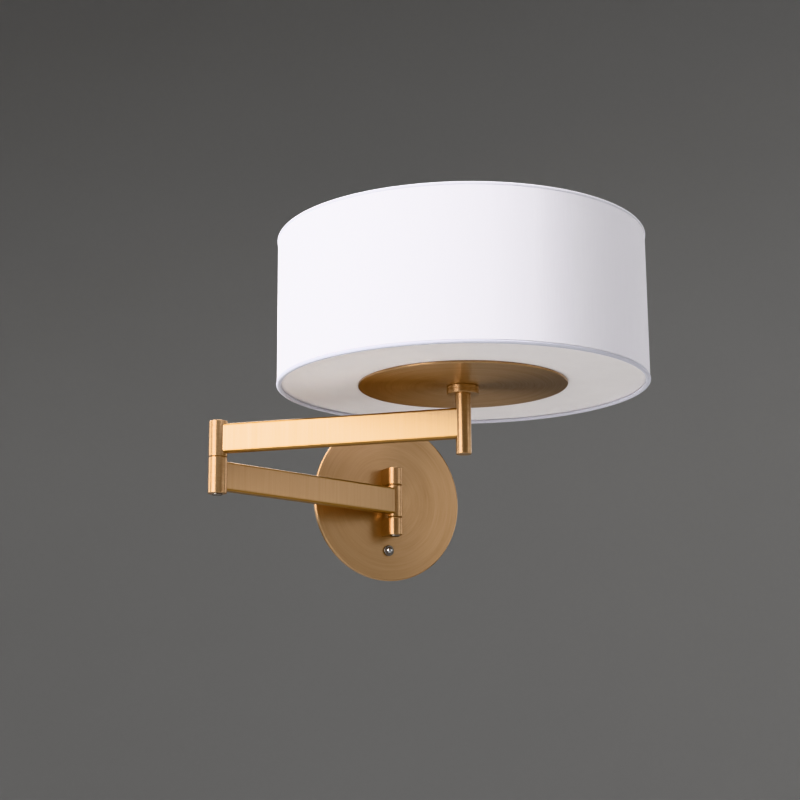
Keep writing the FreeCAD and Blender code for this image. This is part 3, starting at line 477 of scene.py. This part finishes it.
# The shade's frame and the lamp
dress(grained("opalAcrylic", (0.93, 0.90, 0.90), (0.91, 0.88, 0.88), 0.45), "diffuser")
dress(grained("whiteWire", (0.80, 0.80, 0.80), (0.72, 0.72, 0.72), 0.4),
      "shade_spider", "shade_top_ring")
dress(threadedMetal("nippleThread", zincSteel, stemAxis, 0.00094, 0.0004), "threaded_nipple")
dress(turnedMetal("nutSteel", zincSteel, stemAxis), "lock_nut")
dress(threadedMetal("shellThread", sheetBrass, stemAxis, 0.0036, 0.0008), "socket_shell")
dress(threadedMetal("baseThread", zincSteel, stemAxis, 0.0036, 0.0008), "bulb_base")
dress(grained("frostedGlass", (0.90, 0.90, 0.88), (0.86, 0.86, 0.84), 0.3, 0.0, 3000.0, 0.15),
      "bulb_glass")
print("hidden hardware dressed")


# Cloth

def clothMaterial(name, cloth, radius):
    # Cloth coordinates round the shade: arc length, then height; the jump is at the seam
    material, tree, shader = newMaterial(name, Roughness=cloth["roughness"])
    shader.inputs["Sheen Weight"].default_value = cloth["sheen"]
    parts = addNode(tree, "ShaderNodeSeparateXYZ")
    link(tree, placedCoords(tree, stemAxis, (0, 0, quarter)), parts.inputs[0])
    arc = mathNode(tree, "MULTIPLY", mathNode(tree, "ARCTAN2", parts.outputs[1], parts.outputs[0]), radius)
    joined = addNode(tree, "ShaderNodeCombineXYZ")
    link(tree, arc, joined.inputs[0])
    link(tree, parts.outputs[2], joined.inputs[1])
    weave = useGroup(tree, clothWeave, Vector=joined.outputs[0], Thread=cloth["thread"])
    tone = stretchRange(tree, weave.outputs["Tone"], 0.3, 0.9, 0.0, 1.0)
    link(tree, mixColours(tree, tone, cloth["dark"], cloth["light"]), shader.inputs["Base Color"])
    addBump(tree, shader, weave.outputs["Height"], cloth["bump"], cloth["relief"])
    if "undersideShade" in cloth:
        # painted shade: the lower roll's underside is greyer than the rest
        low, high = cloth["underside"]
        under = stretchRange(tree, parts.outputs[2], low, high, 1.0, 0.0)
        unshaded = shader.inputs["Base Color"].links[0].from_socket
        link(tree, mixColours(tree, under, unshaded, cloth["undersideShade"]), shader.inputs["Base Color"])
    return material


def finishPiece(obj, name, smoothAngle=40):
    obj.name = name
    bpy.ops.object.mode_set(mode="EDIT")
    bpy.ops.mesh.select_all(action="SELECT")
    bpy.ops.mesh.normals_make_consistent(inside=False)
    bpy.ops.object.mode_set(mode="OBJECT")
    bpy.ops.object.transform_apply(location=True, rotation=True, scale=True)
    bpy.ops.object.shade_smooth_by_angle(angle=math.radians(smoothAngle))


def applied(obj, kind, **values):
    modifier = obj.modifiers.new(kind.title(), kind)
    for label, value in values.items():
        setattr(modifier, label, value)
    bpy.ops.object.modifier_apply(modifier=modifier.name)


def plainLoop(radius, height, steps):
    # A closed ring of edges round the stem, with nothing selected
    bpy.ops.object.select_all(action="DESELECT")
    bpy.ops.mesh.primitive_circle_add(vertices=steps, radius=radius, fill_type="NOTHING",
                                      location=(stemAxis.x, stemAxis.y, height))
    obj = bpy.context.object
    bpy.ops.object.transform_apply(location=True, rotation=True, scale=True)
    bpy.ops.object.mode_set(mode="EDIT")
    bpy.ops.mesh.select_all(action="DESELECT")
    bpy.ops.object.mode_set(mode="OBJECT")
    return obj


def seamedDrum(name, cloth, radius, low, high):
    # A strip of cloth wrapped once round, with its free end lapped over the start
    steps = cloth["steps"]
    obj = plainLoop(radius, low, steps)
    mesh = obj.data
    last = max(range(steps), key=lambda index: mesh.vertices[index].co.y)
    start = mesh.vertices[last].co.copy()
    for edge in mesh.edges:
        ends = [mesh.vertices[index].co for index in edge.vertices]
        edge.select = last in edge.vertices and min(end.x for end in ends) < start.x - 0.00001
    bpy.ops.object.mode_set(mode="EDIT")
    bpy.ops.mesh.select_mode(type="EDGE")
    bpy.ops.mesh.delete(type="EDGE")
    bpy.ops.object.mode_set(mode="OBJECT")
    for vertex in mesh.vertices:
        vertex.select = (vertex.co - start).length < 0.00001
    bpy.ops.object.mode_set(mode="EDIT")
    bpy.ops.mesh.select_mode(type="VERT")
    lapSteps = cloth["lapSteps"]
    previous = start
    for step in range(1, lapSteps + 1):
        angle = quarter + cloth["lap"] / radius * step / lapSteps
        reach = radius + cloth["lapRise"] * min(1.0, step / cloth["lapSettle"])
        target = Vector((stemAxis.x + reach * math.cos(angle), stemAxis.y + reach * math.sin(angle), low))
        bpy.ops.mesh.extrude_vertices_move(TRANSFORM_OT_translate={"value": target - previous})
        previous = target
    bpy.ops.mesh.select_all(action="SELECT")
    bpy.ops.mesh.select_mode(type="EDGE")
    rowRise = (0, 0, (high - low) / cloth["rows"])
    for row in range(cloth["rows"]):
        bpy.ops.mesh.extrude_edges_move(TRANSFORM_OT_translate={"value": rowRise})
    bpy.ops.object.mode_set(mode="OBJECT")
    applied(obj, "SOLIDIFY", thickness=cloth["thick"], offset=-1)
    finishPiece(obj, name)
    obj.data.materials.append(clothMaterial(name + "Cloth", cloth, radius))
    return obj


shadeCloth = {
    "steps": 288,
    "rows": 12,
    "thick": 0.0006,
    "lap": 0.012,
    "lapSteps": 6,
    "lapRise": 0.0007,
    "lapSettle": 1.4,
    "roughness": 0.85,
    "sheen": 0.15,
    "thread": 0.00042,
    "light": (0.90, 0.88, 0.93),
    "dark": (0.87, 0.85, 0.90),
    "bump": 0.12,
    "relief": 0.0001,
}
liningCloth = {
    "steps": 240,
    "rows": 6,
    "thick": 0.0005,
    "lap": 0.010,
    "lapSteps": 5,
    "lapRise": -0.0006,
    "lapSettle": 1.4,
    "roughness": 0.6,
    "sheen": 0.05,
    "thread": 0.0005,
    "light": (0.92, 0.92, 0.91),
    "dark": (0.88, 0.88, 0.87),
    "bump": 0.05,
    "relief": 0.0001,
}
hemCloth = {
    "width": 0.0035,
    "sideSteps": 20,
    "ringSteps": 288,
    "tuck": 0.0005,
    "roughness": 0.85,
    "sheen": 0.2,
    "thread": 0.00042,
    "light": (0.88, 0.87, 0.93),
    "dark": (0.82, 0.81, 0.88),
    # undersideShade: the painted shade colour for the lower roll's underside
    "undersideShade": (0.62, 0.62, 0.70),
    "bump": 0.2,
    "relief": 0.0001,
}


def hemRoll(low, high, outerRadius, tuckSide):
    # Cloth rolled round the rim: an oval section with a tuck where its edge goes under
    width = hemCloth["width"]
    bpy.ops.object.select_all(action="DESELECT")
    bpy.ops.mesh.primitive_circle_add(vertices=hemCloth["sideSteps"], radius=width / 2,
                                      fill_type="NOTHING", rotation=(quarter, 0, 0))
    obj = bpy.context.object
    bpy.ops.object.transform_apply(location=True, rotation=True, scale=True)
    mesh = obj.data
    corner = min(mesh.vertices, key=lambda vertex: vertex.co.x - tuckSide * vertex.co.z).index
    bpy.ops.object.mode_set(mode="EDIT")
    bpy.ops.mesh.select_mode(type="VERT")
    bpy.ops.mesh.select_all(action="DESELECT")
    bpy.ops.object.mode_set(mode="OBJECT")
    mesh.vertices[corner].select = True
    bpy.ops.object.mode_set(mode="EDIT")
    bpy.ops.transform.translate(value=(hemCloth["tuck"], 0, -tuckSide * hemCloth["tuck"]))
    bpy.ops.mesh.select_all(action="SELECT")
    bpy.ops.transform.resize(value=(1, 1, (high - low) / width), center_override=(0, 0, 0))
    bpy.ops.transform.translate(value=(outerRadius - width / 2, 0, 0))
    bpy.ops.object.mode_set(mode="OBJECT")
    applied(obj, "SCREW", angle=2 * math.pi, screw_offset=0, steps=hemCloth["ringSteps"],
            render_steps=hemCloth["ringSteps"], axis="Z", use_merge_vertices=True, merge_threshold=0.00002)
    obj.location = (stemAxis.x, stemAxis.y, (low + high) / 2)
    bpy.ops.object.transform_apply(location=True, rotation=True, scale=True)
    return obj


clothLow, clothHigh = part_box("shade_fabric")
liningLow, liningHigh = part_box("shade_liner")
hemLow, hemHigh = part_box("shade_hems")
clothRadius = (clothHigh[0] - clothLow[0]) / 2
liningRadius = (liningHigh[0] - liningLow[0]) / 2
hemRadius = (hemHigh[0] - hemLow[0]) / 2

shade = seamedDrum("shadeDrum", shadeCloth, clothRadius, clothLow[2], clothHigh[2])
lining = seamedDrum("shadeLining", liningCloth, liningRadius - 0.0001, liningLow[2], liningHigh[2])
lowHem = hemRoll(hemLow[2], clothLow[2], hemRadius, 1)
highHem = hemRoll(clothHigh[2], hemHigh[2], hemRadius, -1)
bpy.ops.object.select_all(action="DESELECT")
lowHem.select_set(True)
highHem.select_set(True)
bpy.context.view_layer.objects.active = lowHem
bpy.ops.object.join()
finishPiece(lowHem, "shadeHems", 60)
hemBase = hemLow[2] - stemAxis.z
# height band over which the painted shade on the lower roll's underside fades out
hemCloth["underside"] = (hemBase + 0.0014, hemBase + 0.0024)
lowHem.data.materials.append(clothMaterial("hemCloth", hemCloth, hemRadius))

for piece, node, slotName in (
        (shade, "shade_fabric", "white_fabric"),
        (lining, "shade_liner", "shade_lining"),
        (lowHem, "shade_hems", "white_fabric")):
    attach(piece, "upper_arm")
    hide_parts(node)
print("shade built,", sum(len(piece.data.polygons) for piece in (shade, lining, lowHem)), "faces")


# Studio

studio = {
    "sweepRadius": 4.2,
    "sweepCorner": 1.6,
    "sweepHeight": 11.0,
    "sweepSegments": 96,
    "cornerSteps": 12,
    "floorDrop": 0.75,
    "floorLight": (0.50, 0.495, 0.49),
    "floorDark": (0.46, 0.455, 0.45),
    "camera": (-0.566, -1.145, -0.188),
    "turn": 27.2,
    "tilt": 12.1,
    "roll": -0.4,
    "lens": 72.0,
    "keyWatts": 35.0,
    "panelSide": 1.0,
    "panelDistance": 1.75,
}
# Soft square panels round the lamp: bearing and rise in degrees, and power as a share of the key panel
panels = {
    "leftKey": (-75, 5, 1.0),
    "highLeft": (-105, 40, 0.7),
    "highBack": (165, 40, 0.7),
    "overhead": (0, 90, 0.5),
    "leftBack": (-135, 5, 0.3),
    "highFront": (-15, 40, 0.25),
    "rightFill": (50, 5, 0.15),
    "rightBack": (105, 5, 0.15),
    "lowFront": (0, -30, 0.1),
}
lampMiddle = Vector((-0.08, -0.16, 0.05))


def makeSweep():
    # A pale floor that curves up into a wall all round
    flat = studio["sweepRadius"] - studio["sweepCorner"]
    bpy.ops.object.select_all(action="DESELECT")
    bpy.ops.mesh.primitive_circle_add(vertices=studio["sweepSegments"], radius=flat, fill_type="NGON",
                                      location=(0, 0, cadLow.z - studio["floorDrop"]))
    sweep = bpy.context.object
    sweep.name = "studioFloor"
    bpy.ops.object.mode_set(mode="EDIT")
    bpy.ops.mesh.select_all(action="SELECT")
    bpy.ops.mesh.select_mode(type="EDGE")
    bpy.ops.mesh.region_to_loop()
    radius = flat
    low = 0.0
    for step in range(1, studio["cornerSteps"] + 1):
        angle = quarter * step / studio["cornerSteps"]
        newRadius = flat + studio["sweepCorner"] * math.sin(angle)
        newLow = studio["sweepCorner"] * (1 - math.cos(angle))
        bpy.ops.mesh.extrude_edges_move(TRANSFORM_OT_translate={"value": (0, 0, newLow - low)})
        growth = newRadius / radius
        bpy.ops.transform.resize(value=(growth, growth, 1), center_override=(0, 0, 0))
        radius, low = newRadius, newLow
    bpy.ops.mesh.extrude_edges_move(TRANSFORM_OT_translate={"value": (0, 0, studio["sweepHeight"])})
    bpy.ops.mesh.select_all(action="SELECT")
    bpy.ops.mesh.normals_make_consistent(inside=True)
    bpy.ops.object.mode_set(mode="OBJECT")
    bpy.ops.object.shade_smooth()
    bpy.ops.object.transform_apply(location=True, rotation=True, scale=True)
    material, tree, shader = newMaterial("paleFloor", Roughness=0.9)
    grain = useGroup(tree, fineGrain, Vector=placedCoords(tree), Size=60.0)
    tone = mixColours(tree, grain.outputs["Tone"], studio["floorDark"], studio["floorLight"])
    link(tree, tone, shader.inputs["Base Color"])
    sweep.data.materials.append(material)


def makePanel(name, bearing, rise, share):
    data = bpy.data.lights.new(name, "AREA")
    data.shape = "SQUARE"
    data.size = studio["panelSide"]
    data.energy = studio["keyWatts"] * share
    light = bpy.data.objects.new(name, data)
    scene.collection.objects.link(light)
    bearing, rise = math.radians(bearing), math.radians(rise)
    level = math.cos(rise)
    away = Vector((math.sin(bearing) * level, -math.cos(bearing) * level, math.sin(rise)))
    light.location = lampMiddle + away * studio["panelDistance"]
    light.rotation_euler = (-away).to_track_quat("-Z", "Y").to_euler()
    light.visible_camera = False


def makeCamera():
    data = bpy.data.cameras.new("mainView")
    data.sensor_width = 36
    data.lens = studio["lens"]
    camera = bpy.data.objects.new("mainView", data)
    scene.collection.objects.link(camera)
    camera.location = studio["camera"]
    camera.rotation_mode = "QUATERNION"
    turn, tilt = math.radians(studio["turn"]), math.radians(studio["tilt"])
    level = math.cos(tilt)
    sight = Vector((math.sin(turn) * level, math.cos(turn) * level, math.sin(tilt)))
    upright = sight.to_track_quat("-Z", "Y")
    camera.rotation_quaternion = upright @ Quaternion((0, 0, 1), math.radians(studio["roll"]))
    scene.camera = camera


makeSweep()
for name, panel in panels.items():
    makePanel(name, *panel)
makeCamera()

world = bpy.data.worlds.new("studioWorld")
scene.world = world
world.use_nodes = True
world.node_tree.nodes["Background"].inputs["Color"].default_value = (0.75, 0.77, 0.8, 1)
world.node_tree.nodes["Background"].inputs["Strength"].default_value = 0.02
scene.view_settings.view_transform = "Khronos PBR Neutral"
print("studio lit")
